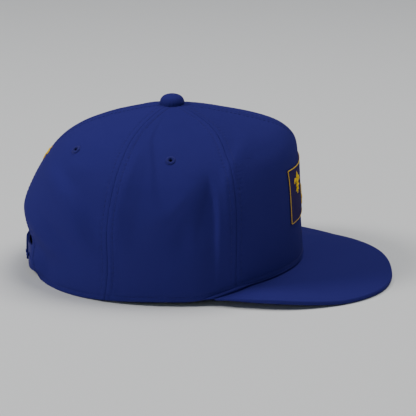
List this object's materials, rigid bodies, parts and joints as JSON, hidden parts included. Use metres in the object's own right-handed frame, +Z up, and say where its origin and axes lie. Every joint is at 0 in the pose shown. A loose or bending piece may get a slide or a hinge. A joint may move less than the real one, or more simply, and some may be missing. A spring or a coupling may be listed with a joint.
{
  "type": "snapback cap",
  "caption": "High-crown five-panel cap with a flat brim, a plastic snap closure under a rear arch, sewn eyelets and a fleur-de-lis patch.",
  "frame": {"origin": "bottom centre of the cap's box, on the surface it rests on", "axes": "-Y forwards over the visor, +Z up, -X to the wearer's right"},
  "size_m": [0.1762, 0.269, 0.1299],
  "materials": {
    "crown_cloth": "matte royal blue twill",
    "visor_cloth": "matte royal blue twill over a stiff board",
    "band_cloth": "matte woven band",
    "snap_plastic": "satin moulded plastic",
    "eyelet_thread": "wound thread",
    "patch_cloth": "dark flat-stitched cloth",
    "gold_thread": "satin-stitched yellow thread"
  },
  "bodies": {
    "root": {"front_panel": "crown_cloth", "side_panel_left": "crown_cloth", "side_panel_right": "crown_cloth", "back_panel_left": "crown_cloth", "back_panel_right": "crown_cloth", "top_button": "crown_cloth", "visor": "visor_cloth", "sweatband": "band_cloth", "strap_holes": "snap_plastic", "strap_pegs": "snap_plastic", "eyelet_side_right": "eyelet_thread", "eyelet_side_left": "eyelet_thread", "eyelet_back_right": "eyelet_thread", "eyelet_back_left": "eyelet_thread", "patch": "patch_cloth", "patch_border": "gold_thread", "fleur_right": "gold_thread", "fleur_left": "gold_thread", "fleur_low": "gold_thread", "back_fleur": "gold_thread"}
  },
  "joints": []
}
